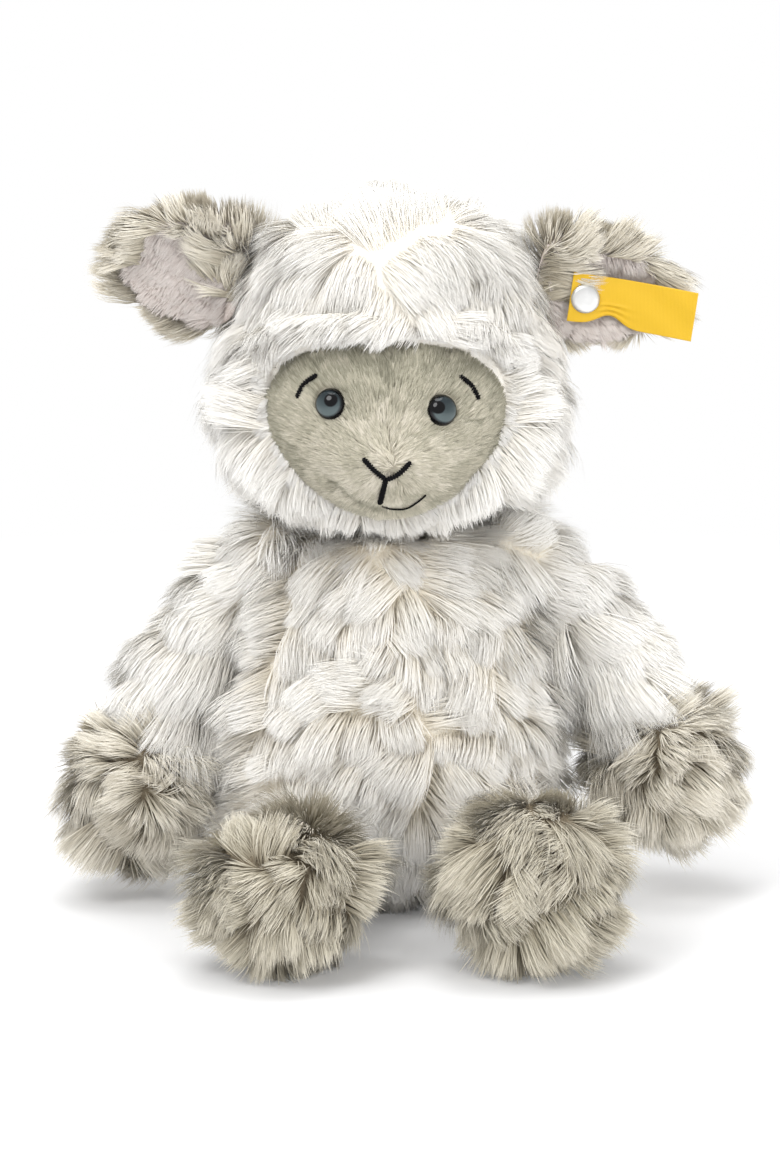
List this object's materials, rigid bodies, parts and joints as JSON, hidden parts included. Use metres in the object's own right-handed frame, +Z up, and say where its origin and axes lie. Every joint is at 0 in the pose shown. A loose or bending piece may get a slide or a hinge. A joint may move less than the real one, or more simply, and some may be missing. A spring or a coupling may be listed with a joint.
{
  "type": "seated plush lamb",
  "caption": "Seated soft-toy lamb with a hooded head, velour face, sideways ears, hanging arms, forward legs and a tail, each bending at its seam.",
  "frame": {"origin": "the middle of the flat seat under the torso, on the surface that the toy sits on", "axes": "+Z up through the torso, neck and head; the face and the soles look along -Y; +X is the toy's own left"},
  "size_m": [0.1845, 0.1592, 0.19],
  "materials": {
    "white_plush": "matte",
    "taupe_plush": "matte",
    "face_velour": "matte",
    "ear_velour": "matte",
    "stuffing": "matte",
    "pellet_cloth": "matte",
    "white_thread": "matte",
    "black_thread": "satin",
    "yellow_ribbon": "satin",
    "eye_plastic": "gloss",
    "washer_plastic": "satin",
    "stud_metal": "satin"
  },
  "bodies": {
    "torso": {"torso_skin": "white_plush", "torso_stuffing": "stuffing", "pellet_bag": "pellet_cloth", "neck_drawstring": "white_thread"},
    "neck": {"neck_skin": "white_plush", "neck_stuffing": "stuffing"},
    "head": {"head_hood": "white_plush", "face_panel": "face_velour", "head_stuffing": "stuffing", "left_eye": "eye_plastic", "right_eye": "eye_plastic", "left_eye_washer": "washer_plastic", "right_eye_washer": "washer_plastic", "left_brow_stitching": "black_thread", "right_brow_stitching": "black_thread", "nose_stitching": "black_thread", "mouth_stitching": "black_thread"},
    "left_ear": {"left_ear_outer": "taupe_plush", "left_ear_lining": "ear_velour", "ear_button": "stud_metal", "ear_button_back": "stud_metal"},
    "tag": {"ear_tag": "yellow_ribbon"},
    "right_ear": {"right_ear_outer": "taupe_plush", "right_ear_lining": "ear_velour"},
    "left_arm": {"left_sleeve": "white_plush", "left_paw": "taupe_plush", "left_arm_stuffing": "stuffing"},
    "right_arm": {"right_sleeve": "white_plush", "right_paw": "taupe_plush", "right_arm_stuffing": "stuffing"},
    "left_leg": {"left_leg_skin": "white_plush", "left_foot": "taupe_plush", "left_leg_stuffing": "stuffing"},
    "right_leg": {"right_leg_skin": "white_plush", "right_foot": "taupe_plush", "right_leg_stuffing": "stuffing"},
    "tail": {"tail": "white_plush"}
  },
  "joints": [
    {"name": "neck_turn", "type": "hinge", "parent": "torso", "child": "neck", "pos_m": [0, 0, 0.103], "axis": [0, 0, 1], "range_deg": [-35, 35], "stiffness_Nm_per_rad": 0.12},
    {"name": "head_nod", "type": "hinge", "parent": "neck", "child": "head", "pos_m": [0, 0, 0.103], "axis": [1, 0, 0], "range_deg": [-15, 15], "stiffness_Nm_per_rad": 0.25},
    {"name": "left_shoulder", "type": "hinge", "parent": "torso", "child": "left_arm", "pos_m": [0.033, 0.002, 0.09], "axis": [1, 0, 0], "range_deg": [-90, 20], "stiffness_Nm_per_rad": 0.02},
    {"name": "right_shoulder", "type": "hinge", "parent": "torso", "child": "right_arm", "pos_m": [-0.033, 0.002, 0.09], "axis": [1, 0, 0], "range_deg": [-90, 20], "stiffness_Nm_per_rad": 0.02},
    {"name": "left_hip", "type": "hinge", "parent": "torso", "child": "left_leg", "pos_m": [0.025, -0.02, 0.018], "axis": [0.9816, 0.1908, 0], "range_deg": [-10, 65], "stiffness_Nm_per_rad": 0.05},
    {"name": "right_hip", "type": "hinge", "parent": "torso", "child": "right_leg", "pos_m": [-0.025, -0.02, 0.018], "axis": [0.9997, -0.0262, 0], "range_deg": [-10, 65], "stiffness_Nm_per_rad": 0.05},
    {"name": "left_ear_flap", "type": "hinge", "parent": "head", "child": "left_ear", "pos_m": [0.037, -0.004, 0.166], "axis": [0, 1, 0], "range_deg": [-15, 15], "stiffness_Nm_per_rad": 0.02},
    {"name": "right_ear_flap", "type": "hinge", "parent": "head", "child": "right_ear", "pos_m": [-0.037, -0.004, 0.166], "axis": [0, 1, 0], "range_deg": [-15, 15], "stiffness_Nm_per_rad": 0.02},
    {"name": "tag_swivel", "type": "hinge", "parent": "left_ear", "child": "tag", "pos_m": [0.05125, -0.0069, 0.16224], "axis": [0, 1, 0], "range_deg": [-10, 10]},
    {"name": "tail_wag", "type": "hinge", "parent": "torso", "child": "tail", "pos_m": [0, 0.03789, 0.027], "axis": [0, 0, 1], "range_deg": [-20, 20], "stiffness_Nm_per_rad": 0.01}
  ]
}
